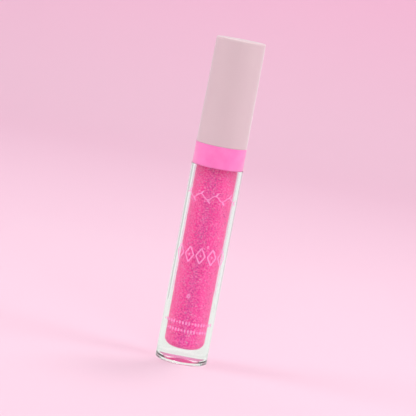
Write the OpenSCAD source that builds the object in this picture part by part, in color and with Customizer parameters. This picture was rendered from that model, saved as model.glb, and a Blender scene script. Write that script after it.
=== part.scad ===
// Lip gloss tube: a thick clear bottle with a threaded neck, a wiper, and a wand held in a screw cap.
// Millimetres. The axis is +Z, and the origin is the middle of the foot that the tube stands on.
// All pieces are drawn with the cap screwed down.

/* [Bottle] */
// Height of the closed tube, from foot to cap top
tube_h = 112.5; // [108:0.5:125]
// Outside diameter of the clear bottle
bottle_d = 18; // [18:0.1:20]
// Height of the bare clear wall, from foot to collar
wall_h = 68.5; // [60:0.1:70]
// Thickness of the clear floor under the gloss
floor_t = 4.8; // [3.5:0.1:7]
// Diameter of the gloss chamber at its top
chamber_top_d = 9.06; // [8.9:0.02:9.2]
// Diameter of the gloss chamber at its floor
chamber_floor_d = 8.7; // [8.4:0.02:8.8]
// Corner radius of the chamber's floor
chamber_corner_r = 2.6; // [1:0.1:3.4]
// Width of the ring that the tube stands on
foot_w = 1.6; // [1:0.1:2.5]
// Height of the straight wall inside that ring
foot_step = 0.8; // [0.5:0.1:1.4]
// Rise of the domed hollow above that wall
foot_dome = 1.1; // [0.5:0.1:1.4]
// Level of the gloss above the foot
fill_h = 72.5; // [66:0.5:73]

/* [Collar] */
// Height of the coloured band round the shoulder
collar_h = 7.4; // [6:0.1:9]
// Outside diameter of the band
collar_d = 17.5; // [17.2:0.1:18]

/* [Neck and thread] */
// Height of the neck above the collar
neck_h = 8.7; // [8:0.1:10]
// Neck diameter between the turns of its thread
neck_d = 11.5; // [11.4:0.1:11.6]
// Neck diameter over its thread
thread_d = 12.8; // [12.6:0.1:12.8]
// Climb of the thread in one turn
pitch = 2.1; // [2:0.05:2.3]
// Turns of thread on the neck
neck_turns = 1.5; // [1.25:0.25:2]
// Turns of thread in the cap
cap_turns = 1.25; // [1:0.25:1.5]

/* [Cap] */
// Outside diameter of the cap at its mouth
cap_d = 17.4; // [17.3:0.1:17.6]
// Outside diameter of the cap at its top
cap_top_d = 16.9; // [16.9:0.1:17.3]
// Crown of the cap's top
cap_crown = 0.2; // [0.1:0.05:0.4]
// Wall thickness of the outer cap
cap_wall = 1.2; // [1:0.05:1.25]
// Thickness of the cap's closed top
cap_top_t = 1.8; // [1.2:0.1:3]
// Gap between the closed cap and the collar
cap_gap = 0.15; // [0.1:0.05:0.3]
// Ribs inside the cap that stop the threaded insert
stop_ribs = 8; // [4:1:12]

/* [Wand] */
// Diameter of the rod
rod_d = 3.6; // [3.2:0.1:3.7]
// Diameter of the flocked tip
tip_d = 4; // [3.9:0.05:4.05]
// Length of the flocked tip
tip_l = 13; // [11:0.5:15]
// Height of the tip's end above the foot
tip_z = 8; // [8:0.5:12]
// Lean of the tip's flat face from the axis
tip_slant = 15; // [10:1:18]
// Thickness of the flock on the tip
flock_t = 0.5; // [0.4:0.05:0.6]

/* [Hidden] */
$fn = 96;

cap_color = [0.90, 0.81, 0.83];
collar_color = [0.99, 0.52, 0.78];
gloss_color = [0.95, 0.32, 0.60];
clear_color = [0.93, 0.96, 0.96, 0.3];
natural_color = [0.93, 0.92, 0.90];
flock_color = [0.97, 0.93, 0.92];

// Gap left in a push fit, and between pieces that turn on each other
fit = 0.05;
// Gap between the gloss and what it wets
film = 0.03;

// Levels of the neck stack, from the collar up
collar_top = wall_h + collar_h;
collar_lip_t = 0.8;
seat_top = collar_top - collar_lip_t - fit;
neck_top = collar_top + neck_h;
wiper_flange_t = 0.7;
wiper_top = neck_top + wiper_flange_t;
washer_t = 0.8;
web_z = wiper_top + washer_t;
web_t = 1.5;
cap_bottom = collar_top + cap_gap;

// Radii of the bottle
bottle_r = bottle_d / 2;
seat_r = 7.55;
neck_r = neck_d / 2;
bore_r = chamber_top_d / 2;
floor_r = chamber_floor_d / 2;
foot_corner = 0.5;
foot_in_r = bottle_r - foot_corner - foot_w;
foot_top = foot_step + foot_dome;
dome_r = crown_radius(foot_in_r, foot_dome);

// A low bead on the shoulder that the collar snaps over
bead_h = 0.4;
bead_out = 0.15;
bead_z = (wall_h + seat_top) / 2;

// Thread form: a ridge with sloping flanks, the same on neck and cap
ridge_root_w = 1.0;
ridge_crest_w = 0.5;
ridge_sink = 0.2;
run_out = 4;
steps_per_turn = 36;
thread_z = collar_top + 2.3;
thread_play = 0.2;
cap_thread_r = thread_d / 2 + thread_play;
cap_crest_r = neck_r + thread_play;
// The cap's ridge bears on the neck's from below, a quarter turn along
ridge_overlap = (cap_thread_r - neck_r) / (thread_d / 2 - neck_r);
flank_gap = 0.12;
cap_ridge_drop = ridge_root_w - (ridge_root_w - ridge_crest_w) / 2 * ridge_overlap + flank_gap;
cap_ridge_start = 90;

// The threaded insert
insert_r = 7.35;
insert_bottom = cap_bottom + 0.25;
boss_r = 3.4;
boss_h = 4.2;
boss_bore_h = 5.1;
insert_ribs = 24;
rib_w = 0.5;

// The outer cap
cap_r = cap_d / 2;
cap_top_r = cap_top_d / 2;
cap_in_r = cap_r - cap_wall;
cap_edge = 0.6;
cap_flat_r = cap_top_r - cap_edge;
crown_r = crown_radius(cap_flat_r, cap_crown);
stop_rib_depth = 0.9;
stop_rib_w = 0.8;

// The wiper
wiper_r = bore_r - film;
wiper_in_r = 3.85;
wiper_flange_r = 5.4;
wiper_l = 9.2;
cone_l = 3.4;
lip_t = 0.5;
orifice_r = tip_d / 2 + fit;

// The wand
rod_r = rod_d / 2;
rod_flange_r = 2.3;
rod_flange_t = 0.6;
snap_out = 0.2;
snap_z = web_z + 3.5;
snap_h = 0.5;
spigot_r = 0.95;
spigot_l = 4.5;
tip_r = tip_d / 2;
tip_top = tip_z + tip_l;
tip_core_r = tip_r - flock_t;
// Where the flat face crosses the rounded end's middle
face_x = 0.5;
gloss_channel_r = tip_r + 0.2;
gloss_channel_gap = 0.5;

// Radius of the sphere whose cap has this base radius and rise
function crown_radius(base_r, rise) = (base_r * base_r + rise * rise) / (2 * rise);

// Points along an arc in the outline's plane, angles in degrees from +r towards +z
function arc(r0, z0, radius, from, to, steps = 8) = [
    for (i = [0:steps])
        let (a = from + (to - from) * i / steps)
        [r0 + radius * cos(a), z0 + radius * sin(a)]
];

// The chamber's inner outline from its rounded floor up, held in by a gap
function chamber(gap) = concat(
    [[0, floor_t + gap]],
    arc(floor_r - chamber_corner_r, floor_t + chamber_corner_r, chamber_corner_r - gap, -90, 0)
);

// Height of a ridge along its run, from 0 at its ends to 1, and below 0 where it sinks into the wall
function ridge_rise(i, steps) = min(1, min(i, steps - i) / run_out * 1.2 - 0.2);

// A right-hand helical ridge on a round wall: outside it when crest_r is over root_r, inside it otherwise
module thread_ridge(root_r, crest_r, turns, start_deg, start_z) {
    steps = round(turns * steps_per_turn);
    out = sign(crest_r - root_r);
    points = [
        for (i = [0:steps])
            let (
                turn = i / steps_per_turn,
                a = start_deg + 360 * turn,
                z = start_z + pitch * turn,
                top_r = root_r + (crest_r - root_r) * ridge_rise(i, steps),
                foot_r = root_r - out * ridge_sink,
                section = [
                    [foot_r, -ridge_root_w / 2 * out],
                    [top_r, -ridge_crest_w / 2 * out],
                    [top_r, ridge_crest_w / 2 * out],
                    [foot_r, ridge_root_w / 2 * out]
                ]
            )
            for (p = section) [p[0] * cos(a), p[0] * sin(a), z + p[1]]
    ];
    sides = [
        for (i = [0:steps - 1])
            for (k = [0:3])
                let (a = 4 * i + k, b = 4 * i + (k + 1) % 4)
                [a, b, b + 4, a + 4]
    ];
    ends = [[3, 2, 1, 0], [for (k = [0:3]) 4 * steps + k]];
    polyhedron(points, concat(sides, ends), convexity = 8);
}

// Short straight ribs standing round the axis, from radius r0 to r1
module rib_ring(count, r0, r1, width, z, height) {
    for (i = [0:count - 1])
        rotate([0, 0, 360 / count * i])
            translate([r0, -width / 2, z])
                cube([r1 - r0, width, height]);
}

module bottle() {
    color(clear_color) {
        difference() {
            rotate_extrude()
                polygon(concat(
                    [[0, 0]],
                    arc(bottle_r - foot_corner, foot_corner, foot_corner, -90, 0, 6),
                    arc(bottle_r - 0.3, wall_h - 0.3, 0.3, 0, 90, 4),
                    [
                        [seat_r, wall_h],
                        [seat_r, bead_z - bead_h],
                        [seat_r + bead_out, bead_z],
                        [seat_r, bead_z + bead_h],
                        [seat_r, seat_top - 0.4],
                        [seat_r - 0.4, seat_top],
                        [neck_r, seat_top],
                        [neck_r, neck_top - 0.3],
                        [neck_r - 0.3, neck_top],
                        [bore_r, neck_top],
                        [bore_r, wall_h]
                    ],
                    [for (i = [len(chamber(0)) - 1:-1:0]) chamber(0)[i]]
                ));
            intersection() {
                translate([0, 0, foot_top - dome_r])
                    sphere(dome_r);
                translate([0, 0, -1])
                    cylinder(r = foot_in_r, h = foot_top + 2);
            }
        }
        thread_ridge(neck_r, thread_d / 2, neck_turns, 0, thread_z);
    }
}

// The liquid, with the space that the wand fills
module gloss() {
    color(gloss_color)
        difference() {
            rotate_extrude()
                polygon(concat(
                    chamber(film),
                    [
                        [bore_r - film, wall_h],
                        [bore_r - film, fill_h],
                        [0, fill_h]
                    ]
                ));
            translate([0, 0, tip_z - gloss_channel_gap])
                cylinder(r = gloss_channel_r, h = fill_h);
        }
}

// The band pressed over the bottle's shoulder, with a lip that covers it
module collar() {
    in_r = seat_r + fit;
    out_r = collar_d / 2;
    color(collar_color)
        rotate_extrude()
            polygon([
                [in_r, wall_h],
                [out_r - 0.15, wall_h],
                [out_r, wall_h + 0.15],
                [out_r, collar_top - 0.25],
                [out_r - 0.25, collar_top],
                [neck_r + 0.25, collar_top],
                [neck_r + 0.25, collar_top - collar_lip_t],
                [in_r, collar_top - collar_lip_t],
                [in_r, bead_z + bead_h + fit],
                [in_r + bead_out, bead_z],
                [in_r, bead_z - bead_h - fit]
            ]);
}

// The soft insert whose lip scrapes the wand, pushed into the neck down to its flange
module wiper() {
    bottom = wiper_top - wiper_l;
    cone_top = bottom + cone_l;
    color(natural_color)
        rotate_extrude()
            polygon([
                [orifice_r, bottom],
                [orifice_r + lip_t, bottom],
                [wiper_r - 0.2, cone_top - 0.3],
                [wiper_r, cone_top + 0.2],
                [wiper_r, neck_top],
                [wiper_flange_r, neck_top],
                [wiper_flange_r, wiper_top],
                [wiper_in_r + 0.3, wiper_top],
                [wiper_in_r, wiper_top - 0.3],
                [wiper_in_r, cone_top + 0.3],
                [orifice_r, bottom + 0.5]
            ]);
}

// The soft ring that the cap squeezes onto the wiper's flange
module sealing_washer() {
    in_r = rod_flange_r + 0.15;
    out_r = cap_crest_r - 0.3;
    color(natural_color)
        translate([0, 0, wiper_top])
            difference() {
                cylinder(r = out_r, h = washer_t);
                translate([0, 0, -1])
                    cylinder(r = in_r, h = washer_t + 2);
            }
}

// The stiff stem: a spigot for the tip, a flange under the insert, and a snap bead in its boss
module rod() {
    top = web_z + boss_bore_h - 0.2;
    color(natural_color)
        rotate_extrude()
            polygon([
                [0, tip_top - spigot_l],
                [spigot_r - 0.2, tip_top - spigot_l],
                [spigot_r, tip_top - spigot_l + 0.2],
                [spigot_r, tip_top],
                [rod_r, tip_top],
                [rod_r, web_z - rod_flange_t],
                [rod_flange_r, web_z - rod_flange_t],
                [rod_flange_r, web_z],
                [rod_r, web_z],
                [rod_r, snap_z - snap_h],
                [rod_r + snap_out, snap_z],
                [rod_r, snap_z + snap_h],
                [rod_r, top - 0.3],
                [rod_r - 0.3, top],
                [0, top]
            ]);
}

// A round-ended finger cut back by the slanting flat face
module finger(radius, face_in) {
    difference() {
        union() {
            translate([0, 0, tip_z + tip_r])
                cylinder(r = radius, h = tip_l - tip_r);
            translate([0, 0, tip_z + tip_r])
                sphere(radius);
        }
        translate([face_x - face_in, 0, tip_z + tip_r])
            rotate([0, tip_slant, 0])
                translate([0, -5, -10])
                    cube([10, 10, 20]);
    }
}

// The flexible core of the tip, pushed onto the rod's spigot
module applicator_tip() {
    color(natural_color)
        difference() {
            finger(tip_core_r, flock_t);
            translate([0, 0, tip_top - spigot_l - 0.3])
                cylinder(r = spigot_r + fit, h = spigot_l + 1);
        }
}

// The layer of short fibres bonded to the tip
module tip_flock() {
    color(flock_color)
        difference() {
            finger(tip_r, 0);
            finger(tip_core_r, flock_t);
            translate([0, 0, tip_top - 1])
                cylinder(r = tip_core_r, h = 2);
        }
}

// The threaded insert that is fixed in the outer cap and holds the wand
module inner_cap() {
    color(natural_color) {
        difference() {
            union() {
                translate([0, 0, insert_bottom])
                    cylinder(r = insert_r, h = web_z + web_t - insert_bottom);
                translate([0, 0, web_z + web_t])
                    cylinder(r = boss_r, h = boss_h);
                rib_ring(
                    insert_ribs, insert_r - 0.2, cap_in_r - fit / 2,
                    rib_w, insert_bottom + 1, web_z - insert_bottom
                );
            }
            translate([0, 0, insert_bottom - 1])
                cylinder(r = cap_thread_r, h = web_z - insert_bottom + 1);
            rotate_extrude()
                polygon([
                    [0, web_z - 1],
                    [rod_r + fit, web_z - 1],
                    [rod_r + fit, snap_z - snap_h],
                    [rod_r + fit + snap_out, snap_z],
                    [rod_r + fit, snap_z + snap_h],
                    [rod_r + fit, web_z + boss_bore_h],
                    [0, web_z + boss_bore_h]
                ]);
        }
        thread_ridge(
            cap_thread_r, cap_crest_r, cap_turns, cap_ridge_start,
            thread_z - cap_ridge_drop + pitch * cap_ridge_start / 360
        );
    }
}

// The outer shell of the cap, with ribs that stop the insert
module outer_cap() {
    rib_z = web_z + web_t;
    color(cap_color) {
        rotate_extrude()
            polygon(concat(
                [
                    [cap_in_r, cap_bottom],
                    [cap_r - 0.15, cap_bottom],
                    [cap_r, cap_bottom + 0.15]
                ],
                arc(cap_flat_r, tube_h - cap_crown - cap_edge, cap_edge, 0, 75, 5),
                arc(0, tube_h - crown_r, crown_r, acos(cap_flat_r / crown_r), 90, 6),
                [
                    [0, tube_h - cap_top_t],
                    [cap_in_r, tube_h - cap_top_t]
                ]
            ));
        rib_ring(
            stop_ribs, cap_in_r - stop_rib_depth, cap_in_r + cap_wall / 2,
            stop_rib_w, rib_z, tube_h - cap_top_t / 2 - rib_z
        );
    }
}

bottle();
gloss();
collar();
wiper();
sealing_washer();
rod();
applicator_tip();
tip_flock();
inner_cap();
outer_cap();
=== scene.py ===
import math
import random

import bmesh
import bpy
from mathutils import Matrix, Vector


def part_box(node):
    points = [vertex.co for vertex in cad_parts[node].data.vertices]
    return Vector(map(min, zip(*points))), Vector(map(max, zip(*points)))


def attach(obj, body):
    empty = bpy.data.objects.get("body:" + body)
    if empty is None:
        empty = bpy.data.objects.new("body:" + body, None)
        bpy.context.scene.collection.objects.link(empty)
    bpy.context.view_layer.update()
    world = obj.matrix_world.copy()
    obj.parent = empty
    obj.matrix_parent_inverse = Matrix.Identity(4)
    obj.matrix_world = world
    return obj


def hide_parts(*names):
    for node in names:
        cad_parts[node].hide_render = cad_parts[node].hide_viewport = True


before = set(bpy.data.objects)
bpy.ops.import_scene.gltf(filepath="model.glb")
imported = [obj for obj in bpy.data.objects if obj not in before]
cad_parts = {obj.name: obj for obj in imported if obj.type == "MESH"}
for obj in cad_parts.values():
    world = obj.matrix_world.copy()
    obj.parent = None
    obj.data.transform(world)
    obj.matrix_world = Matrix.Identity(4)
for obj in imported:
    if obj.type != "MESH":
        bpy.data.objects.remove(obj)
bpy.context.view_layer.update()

# Outlines are (radius, height) in millimetres, and meshes are written in metres.
MM = 0.001
TAU = math.tau
AXIS = 1e-6
SEGMENTS = 144
FIT = 0.05


def span(node):
    """Radius, foot and top of a CAD node, in millimetres."""
    low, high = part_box(node)
    return high.x / MM, low.z / MM, high.z / MM


BOTTLE_R, _, NECK_TOP = span("bottle")
COLLAR_R, WALL_H, COLLAR_TOP = span("collar")
CAP_R, CAP_BOTTOM, CAP_TOP = span("outer_cap")
_, INSERT_BOTTOM, INSERT_TOP = span("inner_cap")
WIPER_FLANGE_R, WIPER_BOTTOM, WIPER_TOP = span("wiper")
WASHER_R, WASHER_Z, WEB_Z = span("sealing_washer")
ROD_FLANGE_R, SPIGOT_Z, ROD_TOP = span("rod")
TIP_R, TIP_Z, TIP_TOP = span("tip_flock")
FILL_H = span("gloss")[2]

# Sizes that the boxes don't give, as in the CAD source
CHAMBER_TOP_R = 4.53
CHAMBER_FLOOR_R = 4.35
CHAMBER_CORNER = 2.6
FLOOR_T = 4.8
FOOT_IN_R = 6.9
FOOT_STEP, FOOT_DOME = 0.8, 1.1
SEAT_R = 7.55
BEAD_OUT, BEAD_H = 0.15, 0.4
NECK_R = 5.75
THREAD_R = 6.4
THREAD_PLAY = 0.2
PITCH = 2.1
RIDGE_ROOT, RIDGE_CREST = 1.0, 0.5
NECK_TURNS, CAP_TURNS = 1.5, 1.25
RUN_OUT = 0.11
COLLAR_LIP = 0.8
CAP_IN_R, CAP_TOP_R, CAP_TOP_T = 7.5, 8.45, 1.8
CAP_EDGE, CAP_CROWN = 0.6, 0.2
STOP_RIBS, STOP_RIB_W = 8, 0.8
WEB_T = 1.5
BOSS_R, BOSS_BORE_H = 3.4, 5.1
ROD_R = 1.8
TIP_SLANT = math.radians(15)
TIP_FACE_X = 0.5
THREAD_Z = COLLAR_TOP + 2.3
INSERT_OUT_R = CAP_IN_R - 0.15
INSERT_BORE_R = THREAD_R + THREAD_PLAY
COLLAR_SEAT_TOP = COLLAR_TOP - COLLAR_LIP

# The hairline left under the cap, where the band is drawn up into the CAD's gap, and above the tip
SEAM = 0.03

# The gloss wets the plastic, so its surface lies a hair inside it, and it climbs the wall at its top
GLOSS_SKIN, GLOSS_CLIMB = 0.04, 0.5

# Glitter against the chamber's wall, and the nap of the tip
FLAKES, FLAKE_SIDES = 8000, 6
FLAKE_SIZES, FLAKE_T = (0.07, 0.16), 0.012
FLAKE_TILT, FLAKE_DEPTH = 0.14, 0.05
FIBRES, FIBRE_R, NAP = 3600, 0.016, 0.22

# How far below the wiper the film of gloss on the rod reaches its full depth
WET_FADE = 25

# The print: a vine, a row of lozenges with a small one above, a diamond, and two rows of beads
INK_T = 0.02
LINE_W, FINE_W, DOT_W = 0.42, 0.3, 0.25
VINE_HALF, VINE_Z, VINE_RISE, VINE_WAVE = 10.4, 58.5, 0.8, 5.2
LEAF_L, LEAF_W, LEAF_ANGLE = 1.8, 0.5, math.radians(50)
BERRY_REACH, BERRY_R, BERRY_W = 0.8, 0.14, 0.2
LOZENGES, LOZENGE_STEP, LOZENGE_Z = 5, 4.0, 38.3
LOZENGE_W, LOZENGE_H, LOZENGE_DOT_R = 3.2, 5.4, 0.22
SMALL_W, SMALL_H, SMALL_LIFT = 0.7, 1.0, 0.7
DIAMOND_X, DIAMOND_Z, DIAMOND_W, DIAMOND_H, DIAMOND_LINE = -1.4, 24.0, 1.0, 1.5, 0.35
BEADS_Z, BEAD_ROW_DROP, BEAD_STEP = 14.6, 2.7, 1.1
BEAD_COUNTS, BEAD_R, BEAD_TALL_R = (18, 14), 0.16, 0.5

# The stage, in metres: a sweep of paper, and cards that only the clear plastic shows
SWEEP_HALF, SWEEP_BACK, SWEEP_H, SWEEP_BEND = 4.0, 1.1, 1.9, 0.45
PAPER_FLOOR, PAPER_WALL, PAPER_WALL_Z = "e5cdda", "ff98cd", 450
AIR_GAP = 0.0001
CARD_X, CARD_FRONT, CARD_BACK, CARD_TOP = 0.09, -0.01, 0.085, 0.11
CARD_WHITE, CARD_GREY, FLOOR_WHITE = "f8faf9", "bac7c1", "e8e9e6"
LEFT_STRIPE, RIGHT_STRIPE = (66, 76), (54, 64)

# The camera, in metres
MIDDLE = Vector((0, 0, CAP_TOP * MM / 2))
CAMERA_DISTANCE, CAMERA_HEIGHT = 0.625, CAP_TOP * MM + 0.025
ROLL = math.radians(10.75)
LENS = 159.3
AIM_OFFSET = (-0.0010, -0.0023)


# ---------------------------------------------------------------- meshes


def rounded(corners, steps=5):
    """The closed outline through corners (radius, height[, rounding]), with each rounding drawn as an arc."""
    points = []
    for i, corner in enumerate(corners):
        here = Vector(corner[:2])
        rounding = corner[2] if len(corner) > 2 else 0
        if not rounding:
            points.append(here)
            continue
        back = (Vector(corners[i - 1][:2]) - here).normalized()
        on = (Vector(corners[(i + 1) % len(corners)][:2]) - here).normalized()
        half = back.angle(on) / 2
        centre = here + (back + on).normalized() * rounding / math.sin(half)
        reach = rounding / math.tan(half)
        start, end = here + back * reach - centre, here + on * reach - centre
        first = math.atan2(start.y, start.x)
        turn = math.atan2(start.cross(end), start.dot(end))
        for k in range(steps + 1):
            a = first + turn * k / steps
            points.append(centre + Vector((math.cos(a), math.sin(a))) * rounding)
    return points


def rows_between(radius, low, high, step):
    """Outline points up a straight wall, close enough together to carry a relief."""
    count = max(1, round((high - low) / step))
    return [(radius, low + (high - low) * i / count) for i in range(count + 1)]


def add_object(name, mesh, material, body, slot, *nodes):
    """Links a mesh as a piece that rides on a body, stands for CAD nodes and takes a finish; its slot is not
    used.
    """
    piece = bpy.data.objects.new(name, mesh)
    bpy.context.scene.collection.objects.link(piece)
    piece.data.materials.append(material)
    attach(piece, body)
    if nodes:
        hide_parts(*nodes)
    return piece


def finish_mesh(bm, name, sharp=35):
    """A bmesh made into a smooth-shaded mesh whose edges over sharp degrees stay crisp."""
    bmesh.ops.recalc_face_normals(bm, faces=bm.faces)
    mesh = bpy.data.meshes.new(name)
    bm.to_mesh(mesh)
    bm.free()
    mesh.shade_smooth()
    mesh.set_sharp_from_angle(angle=math.radians(sharp))
    return mesh


def ring_row(bm, point, segments, relief):
    """One ring of vertices round the axis, or a single vertex on it."""
    radius, height = point
    if radius < AXIS:
        return [bm.verts.new((0, 0, height * MM))]
    row = []
    for i in range(segments):
        a = TAU * i / segments
        r = relief(a, radius, height) if relief else radius
        row.append(bm.verts.new((r * math.cos(a) * MM, r * math.sin(a) * MM, height * MM)))
    return row


def join_rows(bm, low, high, segments):
    """Faces between two rings of vertices, either of which may be a single vertex."""
    for i in range(segments):
        j = (i + 1) % segments
        corners = [low[i % len(low)], low[j % len(low)], high[j % len(high)], high[i % len(high)]]
        face = list(dict.fromkeys(corners))
        if len(face) > 2:
            bm.faces.new(face)


def lathe(bm, outline, segments=SEGMENTS, relief=None):
    """Turns an outline into a closed surface in bm; relief(angle, radius, height) gives a new radius."""
    rows = [ring_row(bm, point, segments, relief) for point in outline]
    pairs = list(zip(rows, rows[1:]))
    if len(rows[0]) > 1 and len(rows[-1]) > 1:
        pairs.append((rows[-1], rows[0]))
    for low, high in pairs:
        join_rows(bm, low, high, segments)


def turned(name, outline, segments=SEGMENTS, relief=None):
    """A mesh made by turning one outline."""
    bm = bmesh.new()
    lathe(bm, outline, segments, relief)
    return finish_mesh(bm, name)


def box(bm, low, high, angle):
    """A straight rib: a box in the plane of one angle round the axis."""
    turn = Matrix.Rotation(angle, 4, "Z")
    low, high = Vector(low) * MM, Vector(high) * MM
    made = bmesh.ops.create_cube(bm, size=1)["verts"]
    for v in made:
        v.co = turn @ Vector([low[k] + (v.co[k] + 0.5) * (high[k] - low[k]) for k in range(3)])


def thread(radius, crest, turns, start_turn, start_z):
    """A relief that raises a right-hand helical ridge from a wall of this radius."""
    flank = (RIDGE_ROOT - RIDGE_CREST) / 2

    def relief(angle, r, z):
        if abs(r - radius) > AXIS:
            return r
        rise = 0.0
        for whole in range(-1, math.ceil(turns + start_turn) + 1):
            turn = angle / TAU + whole
            run = turn - start_turn
            if not 0 <= run <= turns:
                continue
            off = abs(z - start_z - PITCH * run)
            across = (RIDGE_ROOT / 2 - off) / flank
            along = min(run, turns - run) / RUN_OUT
            rise = max(rise, min(1.0, across, along))
        return r + (crest - radius) * rise

    return relief


# ---------------------------------------------------------------- materials


class Shader:
    """A Principled material and short calls to build the nodes that feed it."""

    def __init__(self, name, **values):
        self.material = bpy.data.materials.new(name)
        self.material.use_nodes = True
        self.tree = self.material.node_tree
        self.surface = self.tree.nodes["Principled BSDF"]
        self.place = self.node("ShaderNodeTexCoord").outputs["Object"]
        for socket, value in values.items():
            self.surface.inputs[socket.replace("_", " ")].default_value = value

    def node(self, kind, **settings):
        made = self.tree.nodes.new(kind)
        for key, value in settings.items():
            setattr(made, key, value)
        return made

    def link(self, source, target):
        self.tree.links.new(source, target)

    def noise(self, size, detail=2.0, stretch=(1, 1, 1)):
        """Noise whose features are about size millimetres across, from 0 to 1."""
        made = self.node("ShaderNodeTexNoise")
        made.inputs["Scale"].default_value = 1 / (size * MM)
        made.inputs["Detail"].default_value = detail
        self.link(self.stretched(stretch), made.inputs["Vector"])
        return made.outputs["Fac"]

    def cells(self, size, output="Distance"):
        """Voronoi cells about size millimetres across."""
        made = self.node("ShaderNodeTexVoronoi")
        made.inputs["Scale"].default_value = 1 / (size * MM)
        self.link(self.place, made.inputs["Vector"])
        return made.outputs[output]

    def stretched(self, stretch):
        if stretch == (1, 1, 1):
            return self.place
        made = self.node("ShaderNodeMapping")
        made.inputs["Scale"].default_value = stretch
        self.link(self.place, made.inputs["Vector"])
        return made.outputs["Vector"]

    def along(self, axis, low, high):
        """How far a point lies between two heights, or two places across, in millimetres, from 0 to 1."""
        parts = self.node("ShaderNodeSeparateXYZ")
        self.link(self.place, parts.inputs["Vector"])
        made = self.node("ShaderNodeMapRange")
        made.inputs["From Min"].default_value = low * MM
        made.inputs["From Max"].default_value = high * MM
        self.link(parts.outputs[axis], made.inputs["Value"])
        return made.outputs["Result"]

    def mixed(self, first, second, share, kind="FLOAT"):
        """Two values, or two colours where kind is RGBA, mixed with this share of the second."""
        made = self.node("ShaderNodeMix", data_type=kind)
        sockets = [i for i in made.inputs if i.enabled]
        sockets[0].default_value = share
        self.link(first, sockets[1])
        self.link(second, sockets[2])
        return next(o for o in made.outputs if o.enabled)

    def ramp(self, source, *stops):
        """A colour ramp through (position, colour) stops."""
        made = self.node("ShaderNodeValToRGB")
        ends = made.color_ramp.elements
        while len(ends) < len(stops):
            ends.new(0.5)
        for end, (position, colour) in zip(ends, stops):
            end.position = position
            end.color = (*colour, 1)
        self.link(source, made.inputs["Fac"])
        return made.outputs["Color"]

    def span(self, source, low, high):
        """Maps 0..1 to low..high."""
        made = self.node("ShaderNodeMapRange")
        made.inputs["To Min"].default_value = low
        made.inputs["To Max"].default_value = high
        self.link(source, made.inputs["Value"])
        return made.outputs["Result"]

    def colour(self, source):
        self.link(source, self.surface.inputs["Base Color"])

    def roughness(self, source, low, high):
        self.link(self.span(source, low, high), self.surface.inputs["Roughness"])

    def bump(self, source, height, strength):
        """A bump height millimetres deep."""
        made = self.node("ShaderNodeBump")
        made.inputs["Distance"].default_value = height * MM
        made.inputs["Strength"].default_value = strength
        self.link(source, made.inputs["Height"])
        self.link(made.outputs["Normal"], self.surface.inputs["Normal"])


def srgb(code):
    """A linear colour from a six-digit sRGB code."""
    parts = [int(code[i:i + 2], 16) / 255 for i in (0, 2, 4)]
    return tuple(c / 12.92 if c <= 0.04045 else ((c + 0.055) / 1.055) ** 2.4 for c in parts)


def clear_wall():
    """Polished clear plastic, a touch milky, with faint flow lines and a little grey in its depth."""
    s = Shader("clear_wall", Transmission_Weight=0.97, IOR=1.55)
    s.colour(s.ramp(s.noise(6, 2, (1, 1, 0.2)), (0.3, srgb("f3fbf7")), (0.7, srgb("f8fefb"))))
    s.roughness(s.noise(4), 0.0, 0.03)
    s.bump(s.noise(5, 1, (1, 1, 0.15)), 0.01, 0.3)
    depth = s.node("ShaderNodeVolumeAbsorption")
    depth.inputs["Color"].default_value = (*srgb("e8efec"), 1)
    depth.inputs["Density"].default_value = 12.0
    s.link(depth.outputs["Volume"], s.tree.nodes["Material Output"].inputs["Volume"])
    return s.material


def gloss_liquid():
    """Translucent pink gloss, mottled by its glitter, that glows a little as painted light, with a violet
    streak of painted shade down its middle and sides made lighter by painted light.
    """
    # The emission is painted light: the gloss glows faintly pink, standing in for light that reaches it
    # through the wall.
    s = Shader("gloss", Transmission_Weight=0.4, IOR=1.46, Specular_IOR_Level=0.2, Emission_Strength=0.3)
    s.surface.inputs["Emission Color"].default_value = (*srgb("ff1890"), 1)
    speckle = s.ramp(
        s.noise(0.5, 2),
        (0.36, srgb("88067c")),
        (0.50, srgb("f2129c")),
        (0.64, srgb("ff90d4")),
    )
    # Painted light and shade across the gloss, set by its place from left to right: lighter salmon sides, and
    # a violet streak of painted shade a little left of the middle.
    across = s.mixed(s.along("X", -CHAMBER_TOP_R, CHAMBER_TOP_R), s.noise(2.6, 1, (1, 1, 0.04)), 0.12)
    painted_light_and_shade = s.ramp(
        across,
        (0.05, srgb("ff6ca4")),
        (0.24, srgb("ec1086")),
        (0.41, srgb("c4189c")),
        (0.68, srgb("f4109c")),
        (0.95, srgb("ff78b0")),
    )
    s.colour(s.mixed(speckle, painted_light_and_shade, 0.5, "RGBA"))
    s.roughness(s.cells(0.35, output="Color"), 0.3, 0.6)
    s.bump(s.cells(0.3), 0.05, 0.6)
    return s.material


def glitter_flake():
    """Pearly flakes that shift between pink and silver from flake to flake."""
    s = Shader("glitter", Metallic=0.15)
    s.colour(s.ramp(
        s.cells(0.25, output="Color"),
        (0.10, srgb("b83c9a")),
        (0.35, srgb("f050b0")),
        (0.70, srgb("ffa0d8")),
        (0.92, srgb("ffe8f6")),
    ))
    s.roughness(s.noise(0.5), 0.2, 0.45)
    return s.material


def satin_pink():
    """The moulded pink band."""
    s = Shader(
        "collar_pink", Subsurface_Weight=0.15, Coat_Weight=0.25, Coat_Roughness=0.3, Sheen_Weight=0.3,
    )
    s.surface.inputs["Subsurface Radius"].default_value = (0.003, 0.001, 0.002)
    s.surface.inputs["Subsurface Scale"].default_value = 0.5
    s.colour(s.ramp(s.noise(3, 3), (0.3, srgb("fb78c1")), (0.7, srgb("fd86c9"))))
    s.roughness(s.noise(0.4, 4), 0.38, 0.5)
    s.bump(s.noise(0.12, 3), 0.004, 0.5)
    return s.material


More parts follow.
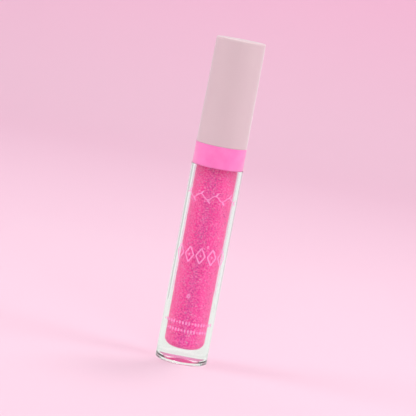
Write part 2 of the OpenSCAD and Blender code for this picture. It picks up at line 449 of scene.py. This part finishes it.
def matte_cap():
    """Soft-touch matte cap, a pale pinkish beige."""
    s = Shader("cap_matte", Sheen_Weight=0.8, Sheen_Roughness=0.36, Specular_IOR_Level=0.35)
    s.surface.inputs["Sheen Tint"].default_value = (*srgb("ecfff6"), 1)
    s.colour(s.ramp(s.noise(9, 3), (0.3, srgb("d4c2c4")), (0.7, srgb("d5c4c5"))))
    s.roughness(s.noise(0.3, 4), 0.55, 0.72)
    s.bump(s.noise(0.09, 3), 0.006, 0.6)
    return s.material


def wet_rod(wiped, wetted):
    """The rod's natural plastic, under a film of gloss below the wiper and on its way to the tip."""
    s = Shader("rod_pp", Subsurface_Weight=0.15, Subsurface_Scale=0.001, Coat_Weight=0.6, Coat_Roughness=0.08)
    patchy = s.mixed(s.along("Z", wetted, wiped), s.noise(2.5, 3, (1, 1, 0.3)), 0.35)
    s.colour(s.ramp(patchy, (0.15, srgb("e86aa8")), (0.45, srgb("f0a3c4")), (0.8, srgb("f1ece9"))))
    s.roughness(s.noise(0.6, 3), 0.18, 0.32)
    s.bump(s.noise(1.2, 2), 0.01, 0.3)
    return s.material


def natural_plastic(name, light, dark, roughness, subsurface=0.2):
    """Unpigmented polypropylene or polyethylene, waxy and slightly cloudy."""
    s = Shader(name, Subsurface_Weight=subsurface, Subsurface_Scale=0.001)
    s.colour(s.ramp(s.noise(2, 3), (0.3, srgb(dark)), (0.7, srgb(light))))
    s.roughness(s.noise(0.6, 3), roughness - 0.06, roughness + 0.08)
    s.bump(s.noise(0.2, 2), 0.004, 0.4)
    return s.material


def flock():
    """Nylon fibres stained by the gloss."""
    s = Shader("flock", Sheen_Weight=0.5, Sheen_Roughness=0.4)
    s.colour(s.ramp(s.noise(0.5, 3), (0.3, srgb("ef5fa6")), (0.55, srgb("f68abd")), (0.8, srgb("fbc4dc"))))
    s.roughness(s.noise(0.3), 0.5, 0.8)
    s.bump(s.cells(0.1), 0.03, 0.6)
    return s.material


def ink():
    """Screen-printed pink ink."""
    s = Shader("print_ink")
    s.colour(s.ramp(s.noise(0.8, 3), (0.3, srgb("ff9ad4")), (0.7, srgb("ffabdd"))))
    s.roughness(s.noise(0.2, 3), 0.3, 0.45)
    s.bump(s.noise(0.15), 0.003, 0.4)
    return s.material


def pale(name, floor, wall, wall_z):
    """Seamless paper, graded from the floor's colour to the wall's at wall_z millimetres up."""
    s = Shader(name, Specular_IOR_Level=0.1)
    s.colour(s.ramp(s.along("Z", 0, wall_z), (0.0, srgb(floor)), (1.0, srgb(wall))))
    s.roughness(s.noise(8), 0.75, 0.85)
    return s.material


# ---------------------------------------------------------------- bottle and gloss


def bottle_outline():
    """The bottle from the middle of its foot, up over shoulder and neck, and down the chamber."""
    hollow_top = FOOT_STEP + FOOT_DOME
    dome_r = (FOOT_IN_R ** 2 + FOOT_DOME ** 2) / (2 * FOOT_DOME)
    steps = 16
    dome = []
    for i in range(1, steps):
        a = math.asin(FOOT_IN_R / dome_r) * i / steps
        dome.append((dome_r * math.sin(a), hollow_top - dome_r * (1 - math.cos(a))))
    wall_r = BOTTLE_R - INK_T
    seat_top = COLLAR_SEAT_TOP - FIT
    bead_z = (WALL_H + seat_top) / 2
    return rounded(
        [(0, hollow_top)] + dome + [
            (FOOT_IN_R, FOOT_STEP, 0.1),
            (FOOT_IN_R, 0, 0.12),
            (wall_r, 0, 0.5),
            *rows_between(wall_r, 1.0, WALL_H - 1.0, 8),
            (wall_r, WALL_H, 0.04),
            (SEAT_R, WALL_H, 0.1),
            (SEAT_R, bead_z - BEAD_H),
            (SEAT_R + BEAD_OUT, bead_z, 0.2),
            (SEAT_R, bead_z + BEAD_H),
            (SEAT_R, seat_top, 0.4),
            (NECK_R + 0.4, seat_top),
            (NECK_R + 0.12, seat_top + 0.12),
            *rows_between(NECK_R, seat_top + 0.4, NECK_TOP - 0.6, 0.1),
            (NECK_R, NECK_TOP, 0.25),
            (CHAMBER_TOP_R, NECK_TOP, 0.2),
            (CHAMBER_TOP_R, WALL_H),
            (CHAMBER_FLOOR_R, FLOOR_T, CHAMBER_CORNER),
            (0, FLOOR_T),
        ],
        steps=8,
    )


def gloss_outline():
    """The liquid fills the chamber, and its outline lies just inside the plastic, with a low meniscus."""
    return rounded(
        [
            (0, FLOOR_T - GLOSS_SKIN),
            (CHAMBER_FLOOR_R + GLOSS_SKIN, FLOOR_T - GLOSS_SKIN, CHAMBER_CORNER),
            (CHAMBER_TOP_R + GLOSS_SKIN, WALL_H),
            (CHAMBER_TOP_R + GLOSS_SKIN, FILL_H),
            (CHAMBER_TOP_R - 0.3, FILL_H - GLOSS_CLIMB * 0.6),
            (CHAMBER_TOP_R - 1.2, FILL_H - GLOSS_CLIMB),
            (0, FILL_H - GLOSS_CLIMB),
        ],
        steps=10,
    )


def chamber_radius(z):
    """Radius of the chamber wall at a height, down into its rounded floor."""
    wall = CHAMBER_FLOOR_R + (CHAMBER_TOP_R - CHAMBER_FLOOR_R) * min(1, (z - FLOOR_T) / (WALL_H - FLOOR_T))
    drop = FLOOR_T + CHAMBER_CORNER - z
    if drop <= 0:
        return wall
    return wall - CHAMBER_CORNER + math.sqrt(max(0, CHAMBER_CORNER ** 2 - drop ** 2))


def glitter_mesh():
    """Thin hexagonal flakes lying against the chamber wall, each tilted its own way."""
    pick = random.Random(7)
    bm = bmesh.new()
    for _ in range(FLAKES):
        z = pick.uniform(FLOOR_T + 0.3, FILL_H - 0.6)
        a = pick.uniform(0, TAU)
        size = pick.uniform(*FLAKE_SIZES)
        outward = Vector((math.cos(a), math.sin(a), 0))
        tilt = Vector([pick.gauss(0, FLAKE_TILT) for _ in range(3)])
        normal = (outward + tilt).normalized()
        side = normal.orthogonal().normalized()
        up = normal.cross(side)
        centre = outward * (chamber_radius(z) + FLAKE_DEPTH) + Vector((0, 0, z))
        ring = []
        for k in range(FLAKE_SIDES):
            corner = TAU * k / FLAKE_SIDES
            ring.append(centre + (side * math.cos(corner) + up * math.sin(corner)) * size)
        front = [bm.verts.new((p + normal * FLAKE_T / 2) * MM) for p in ring]
        back = [bm.verts.new((p - normal * FLAKE_T / 2) * MM) for p in ring]
        bm.faces.new(front)
        bm.faces.new(back[::-1])
        for k in range(FLAKE_SIDES):
            j = (k + 1) % FLAKE_SIDES
            bm.faces.new([front[k], back[k], back[j], front[j]])
    mesh = bpy.data.meshes.new("glitter")
    bm.to_mesh(mesh)
    bm.free()
    return mesh


# ---------------------------------------------------------------- print


def ribbon(bm, points, width, closed=False, swell=None):
    """A flat line of ink round the wall, through points (distance round from the front, height)."""
    count = len(points)
    rows = []
    for i, point in enumerate(points):
        here = Vector(point)
        before = Vector(points[i - 1] if i or closed else point)
        after = Vector(points[(i + 1) % count] if i < count - 1 or closed else point)
        along = (after - before).normalized()
        across = Vector((-along.y, along.x)) * width / 2 * (swell(i / (count - 1)) if swell else 1)
        rows.append([wall_point(here - across), wall_point(here + across)])
    strip(bm, rows, closed)


def wall_point(p):
    """Where a point (distance round, height) of the print lies on the ink's face."""
    a = p[0] / BOTTLE_R - TAU / 4
    return Vector((BOTTLE_R * math.cos(a), BOTTLE_R * math.sin(a), p[1])) * MM


def strip(bm, rows, closed):
    """A thin closed slab along pairs of points on the ink's face."""
    shrink = (BOTTLE_R - INK_T) / BOTTLE_R
    made = []
    for left, right in rows:
        low = [Vector((p.x * shrink, p.y * shrink, p.z)) for p in (left, right)]
        made.append([bm.verts.new(p) for p in (left, right, low[1], low[0])])
    count = len(made)
    for i in range(count if closed else count - 1):
        a, b = made[i], made[(i + 1) % count]
        for k in range(4):
            j = (k + 1) % 4
            bm.faces.new([a[k], a[j], b[j], b[k]])
    if not closed:
        bm.faces.new(made[0])
        bm.faces.new(made[-1][::-1])


def ring_points(x, z, radius_x, radius_z, steps):
    """An oval's points."""
    return [
        (x + radius_x * math.cos(TAU * i / steps), z + radius_z * math.sin(TAU * i / steps))
        for i in range(steps)
    ]


def lozenge_points(x, z, radius_x, radius_z, steps=8):
    """A lozenge whose straight sides are cut short enough to follow the round wall."""
    corners = [(x, z + radius_z), (x + radius_x, z), (x, z - radius_z), (x - radius_x, z)]
    points = []
    for (x0, z0), (x1, z1) in zip(corners, corners[1:] + corners[:1]):
        points += [(x0 + (x1 - x0) * i / steps, z0 + (z1 - z0) * i / steps) for i in range(steps)]
    return points


def leaf(bm, x, z, angle, steps=10):
    """A pointed leaf that grows from (x, z) along an angle."""
    along = Vector((math.cos(angle), math.sin(angle))) * LEAF_L
    points = [(x + along.x * i / steps, z + along.y * i / steps) for i in range(steps + 1)]
    ribbon(bm, points, LEAF_W, swell=lambda t: 0.05 + math.sin(math.pi * t ** 0.8))


def vine(bm):
    """A running wave with a leaf and a berry outside each of its bends."""
    def height(x):
        return VINE_Z + VINE_RISE * math.sin(TAU * x / VINE_WAVE)

    steps = 200
    run = [-VINE_HALF + 2 * VINE_HALF * i / steps for i in range(steps + 1)]
    ribbon(bm, [(x, height(x)) for x in run], FINE_W)
    for i in range(round(4 * VINE_HALF / VINE_WAVE)):
        x = -VINE_HALF + VINE_WAVE / 2 * (i + 0.5)
        side = 1 if height(x) > VINE_Z else -1
        leaf(bm, x, height(x), side * LEAF_ANGLE)
        berry = (x - BERRY_REACH, height(x) + side * BERRY_REACH)
        ribbon(bm, ring_points(*berry, BERRY_R, BERRY_R, 10), BERRY_W, True)


def print_mesh():
    """Plain ornament: a leafy vine, a row of open lozenges, a small diamond, and two rows of beads."""
    bm = bmesh.new()
    vine(bm)
    for i in range(LOZENGES):
        x = LOZENGE_STEP * (i - (LOZENGES - 1) / 2)
        ribbon(bm, lozenge_points(x, LOZENGE_Z, LOZENGE_W / 2, LOZENGE_H / 2), LINE_W, True)
        ribbon(bm, ring_points(x, LOZENGE_Z, LOZENGE_DOT_R, LOZENGE_DOT_R, 10), DOT_W, True)
    small_z = LOZENGE_Z + LOZENGE_H / 2 + SMALL_LIFT
    ribbon(bm, lozenge_points(LOZENGE_STEP / 2, small_z, SMALL_W / 2, SMALL_H / 2, 3), DOT_W, True)
    diamond = lozenge_points(DIAMOND_X, DIAMOND_Z, DIAMOND_W / 2, DIAMOND_H / 2, 3)
    ribbon(bm, diamond, DIAMOND_LINE, True)
    for row, count in enumerate(BEAD_COUNTS):
        for i in range(count):
            x = BEAD_STEP * (i - (count - 1) / 2)
            tall = BEAD_TALL_R if i * 3 % 5 else BEAD_R
            bead = ring_points(x, BEADS_Z - row * BEAD_ROW_DROP, BEAD_R, tall, 12)
            ribbon(bm, bead, FINE_W, True)
    return finish_mesh(bm, "print")


# ---------------------------------------------------------------- cap and wand


def collar_outline():
    """The pink band, with a lip over the shoulder and a groove that snaps over the bottle's bead."""
    in_r = SEAT_R + FIT
    lip_r = NECK_R + 0.25
    bead_z = (WALL_H + COLLAR_SEAT_TOP - FIT) / 2
    return rounded([
        (in_r, WALL_H, 0.05),
        (COLLAR_R, WALL_H, 0.04),
        (COLLAR_R, CAP_BOTTOM - SEAM, 0.06),
        (lip_r, CAP_BOTTOM - SEAM, 0.06),
        (lip_r, COLLAR_SEAT_TOP, 0.1),
        (in_r, COLLAR_SEAT_TOP),
        (in_r, bead_z + BEAD_H + FIT),
        (in_r + BEAD_OUT, bead_z),
        (in_r, bead_z - BEAD_H - FIT),
    ])


def wiper_outline():
    """A soft funnel that hangs in the neck, with its orifice at the bottom and a flange on top."""
    cone_top = WIPER_BOTTOM + 3.4
    outer = CHAMBER_TOP_R - 0.03
    inner = 3.85
    orifice = TIP_R + FIT
    return rounded([
        (orifice, WIPER_BOTTOM, 0.12),
        (orifice + 0.5, WIPER_BOTTOM, 0.2),
        (outer, cone_top, 0.4),
        (outer, NECK_TOP, 0.05),
        (WIPER_FLANGE_R, NECK_TOP, 0.1),
        (WIPER_FLANGE_R, WIPER_TOP, 0.2),
        (inner, WIPER_TOP, 0.3),
        (inner, cone_top + 0.3, 0.8),
        (orifice, WIPER_BOTTOM + 0.5, 0.2),
    ])


def washer_outline():
    """The soft ring between the wiper's flange and the cap's web."""
    in_r = ROD_FLANGE_R + 0.15
    return rounded([
        (in_r, WASHER_Z, 0.15),
        (WASHER_R, WASHER_Z, 0.2),
        (WASHER_R, WEB_Z, 0.2),
        (in_r, WEB_Z, 0.15),
    ])


def rod_outline():
    """The wand's stem, from the spigot that holds the tip to the barb that snaps into the cap."""
    flange_t, snap_out, snap_h = 0.6, 0.2, 0.5
    snap_z = WEB_Z + 3.5
    spigot_r = 0.95
    return rounded([
        (0, SPIGOT_Z),
        (spigot_r, SPIGOT_Z, 0.2),
        (spigot_r, TIP_TOP),
        (ROD_R, TIP_TOP, 0.1),
        *rows_between(ROD_R, TIP_TOP + 1, WEB_Z - flange_t - 0.4, 6),
        (ROD_R, WEB_Z - flange_t, 0.15),
        (ROD_FLANGE_R, WEB_Z - flange_t, 0.12),
        (ROD_FLANGE_R, WEB_Z, 0.08),
        (ROD_R, WEB_Z),
        (ROD_R, snap_z - snap_h),
        (ROD_R + snap_out, snap_z, 0.1),
        (ROD_R, snap_z + snap_h),
        (ROD_R, ROD_TOP, 0.3),
        (0, ROD_TOP),
    ])


def insert_outline():
    """The insert: a threaded skirt, a web that presses on the washer, and a boss that holds the rod."""
    socket_r = ROD_R + FIT
    top = WEB_Z + WEB_T
    return rounded([
        (INSERT_BORE_R, INSERT_BOTTOM, 0.15),
        (INSERT_OUT_R, INSERT_BOTTOM, 0.2),
        *rows_between(INSERT_OUT_R, INSERT_BOTTOM + 1, WEB_Z + 1, 2),
        (INSERT_OUT_R, top, 0.2),
        (BOSS_R, top, 0.3),
        (BOSS_R, INSERT_TOP, 0.4),
        (0, INSERT_TOP),
        (0, WEB_Z + BOSS_BORE_H),
        (socket_r, WEB_Z + BOSS_BORE_H),
        (socket_r, WEB_Z, 0.1),
        (INSERT_BORE_R, WEB_Z, 0.3),
        *rows_between(INSERT_BORE_R, INSERT_BOTTOM + 0.4, WEB_Z - 0.6, 0.1)[::-1],
    ])


def insert_relief():
    """The insert's inner thread, and the fine ribs that grip the outer cap."""
    overlap = (INSERT_BORE_R - NECK_R) / (THREAD_R - NECK_R)
    flank_gap, start_turn = 0.12, 0.25
    drop = RIDGE_ROOT - (RIDGE_ROOT - RIDGE_CREST) / 2 * overlap + flank_gap
    ridge = thread(INSERT_BORE_R, NECK_R + THREAD_PLAY, CAP_TURNS, start_turn, THREAD_Z - drop)
    ribs, rib_angle, rib_gap = 24, 0.5 / INSERT_OUT_R, 0.03

    def relief(angle, r, z):
        if abs(r - INSERT_OUT_R) < AXIS and INSERT_BOTTOM + 0.9 < z < WEB_Z + 1.1:
            off = abs((angle * ribs / TAU + 0.5) % 1 - 0.5) * TAU / ribs
            return CAP_IN_R - rib_gap if off < rib_angle / 2 + AXIS else r
        return ridge(angle, r, z)

    return relief


def outer_cap_mesh():
    """The shell, and the ribs inside it that stop the insert."""
    bm = bmesh.new()
    lathe(bm, rounded([
        (CAP_IN_R, CAP_BOTTOM, 0.2),
        (CAP_R, CAP_BOTTOM, 0.06),
        *[
            (CAP_R + (CAP_TOP_R - CAP_R) * t, CAP_BOTTOM + (CAP_TOP - CAP_BOTTOM) * t)
            for t in (0.02, 0.2, 0.4, 0.6, 0.8, 0.97)
        ],
        (CAP_TOP_R, CAP_TOP - CAP_CROWN, CAP_EDGE),
        *[(CAP_TOP_R * t, CAP_TOP - CAP_CROWN * t * t) for t in (0.85, 0.7, 0.5, 0.3, 0.15)],
        (0, CAP_TOP),
        (0, CAP_TOP - CAP_TOP_T),
        (CAP_IN_R, CAP_TOP - CAP_TOP_T, 0.6),
    ]))
    low = (CAP_IN_R - 0.9, -STOP_RIB_W / 2, WEB_Z + WEB_T)
    high = (CAP_IN_R + 0.4, STOP_RIB_W / 2, CAP_TOP - CAP_TOP_T / 2)
    for i in range(STOP_RIBS):
        box(bm, low, high, TAU * i / STOP_RIBS)
    return finish_mesh(bm, "outer_cap_shell")


def tip_point(a, r, z):
    """A point of the tip's rounded finger, pressed back onto its slanting flat face."""
    p = Vector((r * math.cos(a), r * math.sin(a), z))
    normal = Vector((math.cos(TIP_SLANT), 0, -math.sin(TIP_SLANT)))
    beyond = (p - Vector((TIP_FACE_X, 0, TIP_Z + TIP_R))).dot(normal)
    ease = 0.12
    back = beyond if beyond > ease else max(0.0, beyond + ease) ** 2 / (4 * ease)
    return p - normal * back if back > 0 else p


def tip_rows(radius, inset):
    """Heights and radii down the finger, from its round end up to its open top."""
    rows = []
    steps = 14
    for i in range(steps + 1):
        a = TAU / 4 * i / steps
        rows.append((radius * math.sin(a), TIP_Z + inset + radius * (1 - math.cos(a))))
    rows += rows_between(radius, TIP_Z + inset + radius + 0.3, TIP_TOP - SEAM, 0.3)
    return rows


def flocked_tip_mesh():
    """The flocked finger, closed at its top by a ring against the core, and its fibres."""
    pick = random.Random(11)
    bm = bmesh.new()
    segments = 64
    grid = []
    for r, z in tip_rows(TIP_R - NAP, NAP):
        if r < AXIS:
            grid.append([bm.verts.new(tip_point(0, 0, z) * MM)])
        else:
            grid.append([bm.verts.new(tip_point(TAU * i / segments, r, z) * MM) for i in range(segments)])
    for low, high in zip(grid, grid[1:]):
        join_rows(bm, low, high, segments)
    bm.faces.new(grid[-1])
    bmesh.ops.recalc_face_normals(bm, faces=bm.faces)
    roots = [f for f in bm.faces if len(f.verts) < 5]
    weights = [f.calc_area() for f in roots]
    for face in pick.choices(roots, weights, k=FIBRES):
        share = [pick.random() for _ in face.verts]
        root = sum((v.co * s for v, s in zip(face.verts, share)), Vector()) / sum(share)
        lean = Vector([pick.gauss(0, 0.35) for _ in range(3)])
        fibre(bm, root, (face.normal + lean).normalized(), pick.uniform(0.6, 1.0) * NAP * MM)
    return finish_mesh(bm, "flocked_tip", 60)


def fibre(bm, root, way, length):
    """One three-sided fibre that narrows to its end."""
    side = way.orthogonal().normalized()
    up = way.cross(side)
    sunk = root - way * length * 0.2
    foot = []
    for k in range(3):
        a = TAU * k / 3
        foot.append(bm.verts.new(sunk + (side * math.cos(a) + up * math.sin(a)) * FIBRE_R * MM))
    end = bm.verts.new(root + way * length)
    for k in range(3):
        bm.faces.new([foot[k], foot[(k + 1) % 3], end])
    bm.faces.new(foot[::-1])


# ---------------------------------------------------------------- the pieces

neck_thread = thread(NECK_R, THREAD_R, NECK_TURNS, 0, THREAD_Z)
clear = add_object(
    "clear_bottle", turned("clear_bottle", bottle_outline(), relief=neck_thread),
    clear_wall(), "bottle", "clear_wall", "bottle",
)
# The wall's own shadow would leave dark arcs at its foot
clear.visible_shadow = False
add_object("gloss_fill", turned("gloss_fill", gloss_outline()), gloss_liquid(), "bottle", "gloss", "gloss")
add_object("glitter", glitter_mesh(), glitter_flake(), "bottle", "gloss")
add_object("print", print_mesh(), ink(), "bottle", "collar")
add_object(
    "pink_collar", turned("pink_collar", collar_outline()), satin_pink(), "bottle", "collar", "collar",
)
add_object(
    "neck_wiper", turned("neck_wiper", wiper_outline()),
    natural_plastic("wiper_pe", "f4f3f0", "e9e7e3", 0.35, 0.35), "bottle", "wiper", "wiper",
)
add_object(
    "seal_ring", turned("seal_ring", washer_outline()),
    natural_plastic("washer_foam", "f6f5f3", "e6e4e1", 0.7), "seal", "washer", "sealing_washer",
)
add_object(
    "wand_rod", turned("wand_rod", rod_outline(), 72),
    wet_rod(WIPER_TOP, WIPER_BOTTOM - WET_FADE), "stem", "rod", "rod",
)
add_object(
    "threaded_insert", turned("threaded_insert", insert_outline(), relief=insert_relief()),
    natural_plastic("insert_pp", "f2efec", "e6e2df", 0.4), "cap", "inner_cap", "inner_cap",
)
add_object("cap_shell", outer_cap_mesh(), matte_cap(), "cap", "cap", "outer_cap")
add_object("flocked_tip", flocked_tip_mesh(), flock(), "cap", "flock", "tip_flock")

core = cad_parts["applicator_tip"]
core.data.materials.clear()
core.data.materials.append(natural_plastic("tip_core", "f3d9e2", "e9c6d3", 0.45))


# ---------------------------------------------------------------- stage, light and camera


def backdrop():
    """A pale floor that sweeps up into a wall behind."""
    bm = bmesh.new()
    bend_y = SWEEP_BACK - SWEEP_BEND
    steps = 12
    profile = [(-SWEEP_HALF, 0.0), (bend_y, 0.0)]
    for i in range(1, steps + 1):
        a = TAU / 4 * i / steps
        profile.append((bend_y + SWEEP_BEND * math.sin(a), SWEEP_BEND - SWEEP_BEND * math.cos(a)))
    profile.append((SWEEP_BACK, SWEEP_H))
    rows = [[bm.verts.new((x, y, z)) for x in (-SWEEP_HALF, SWEEP_HALF)] for y, z in profile]
    for low, high in zip(rows, rows[1:]):
        bm.faces.new([low[0], low[1], high[1], high[0]])
    mesh = finish_mesh(bm, "backdrop", 60)
    sweep = bpy.data.objects.new("backdrop", mesh)
    bpy.context.scene.collection.objects.link(sweep)
    sweep.data.materials.append(pale("pale_stage", PAPER_FLOOR, PAPER_WALL, PAPER_WALL_Z))
    sweep.location.z = -AIR_GAP


def glass_card(name, corners, colours):
    """White and grey strips of card, each between two edges, that only the clear plastic shows."""
    bm = bmesh.new()
    edges = [[bm.verts.new(point) for point in edge] for edge in corners]
    for i, (near, far) in enumerate(zip(edges, edges[1:])):
        bm.faces.new([near[0], far[0], far[1], near[1]]).material_index = i
    card = bpy.data.objects.new(name, finish_mesh(bm, name))
    bpy.context.scene.collection.objects.link(card)
    for colour in colours:
        s = Shader(name, Emission_Strength=1.0)
        s.surface.inputs["Emission Color"].default_value = (*srgb(colour), 1)
        s.surface.inputs["Base Color"].default_value = (0, 0, 0, 1)
        card.data.materials.append(s.material)
    card.visible_camera = False
    card.visible_diffuse = False
    card.visible_shadow = False


def side_card(name, side, stripe):
    """An upright card beside the tube, with a grey stripe between two bearings from straight behind."""
    x = side * CARD_X
    bearings = [CARD_X / math.tan(math.radians(a)) for a in stripe]
    edges = [((x, y, 0), (x, y, CARD_TOP)) for y in (CARD_FRONT, *sorted(bearings), CARD_BACK)]
    glass_card(name, edges, (CARD_WHITE, CARD_GREY, CARD_WHITE))


def floor_card():
    """A pale card just over the paper, round the foot."""
    ends = CARD_FRONT * 4, CARD_BACK * 3
    edges = [[(x, y, -AIR_GAP / 2) for y in ends] for x in (-CARD_X, CARD_X)]
    glass_card("floor_card", edges, (FLOOR_WHITE,))


def area_light(name, place, aim, size, power):
    """A soft rectangular light that the camera doesn't see."""
    data = bpy.data.lights.new(name, "AREA")
    data.shape = "RECTANGLE"
    data.size, data.size_y = size
    data.energy = power
    lamp = bpy.data.objects.new(name, data)
    bpy.context.scene.collection.objects.link(lamp)
    lamp.location = place
    lamp.rotation_euler = (Vector(aim) - Vector(place)).to_track_quat("-Z", "Y").to_euler()
    lamp.visible_camera = False


def rolled_towards(place, aim):
    """The turn of a camera at a place that looks at aim and is rolled by ROLL."""
    return (aim - place).to_track_quat("-Z", "Y").to_matrix() @ Matrix.Rotation(ROLL, 3, "Z")


def studio_camera():
    """A long lens a little above the cap, rolled so that the tube leans to the right."""
    data = bpy.data.cameras.new("camera")
    data.lens = LENS
    data.clip_end = 20
    camera = bpy.data.objects.new("camera", data)
    bpy.context.scene.collection.objects.link(camera)
    camera.location = Vector((0, -CAMERA_DISTANCE, CAMERA_HEIGHT))
    aim = MIDDLE + rolled_towards(camera.location, MIDDLE) @ Vector((*AIM_OFFSET, 0))
    camera.rotation_euler = rolled_towards(camera.location, aim).to_euler()
    bpy.context.scene.camera = camera


backdrop()
side_card("left_card", -1, LEFT_STRIPE)
side_card("right_card", 1, RIGHT_STRIPE)
floor_card()
for name, side, power in (("left_softbox", -1, 1.25), ("right_softbox", 1, 1.35)):
    area_light(name, (side * 0.55, -0.08, 0.45), aim=MIDDLE, size=(0.3, 0.5), power=power)
area_light("front_fill", (0.15, -1.0, 0.75), aim=MIDDLE, size=(0.8, 0.6), power=4.0)
area_light("key_light", (0.20, 0.30, 0.95), aim=MIDDLE, size=(0.25, 0.25), power=2.3)
area_light("back_light", (0, 0.72, 1.0), aim=(0, 0.90, 0), size=(1.4, 0.6), power=1.9)

world = bpy.data.worlds.new("studio")
world.use_nodes = True
sky = world.node_tree.nodes["Background"]
sky.inputs["Color"].default_value = (*srgb("fff6f9"), 1)
sky.inputs["Strength"].default_value = 0.6
bpy.context.scene.world = world
bpy.context.scene.view_settings.view_transform = "Standard"

studio_camera()
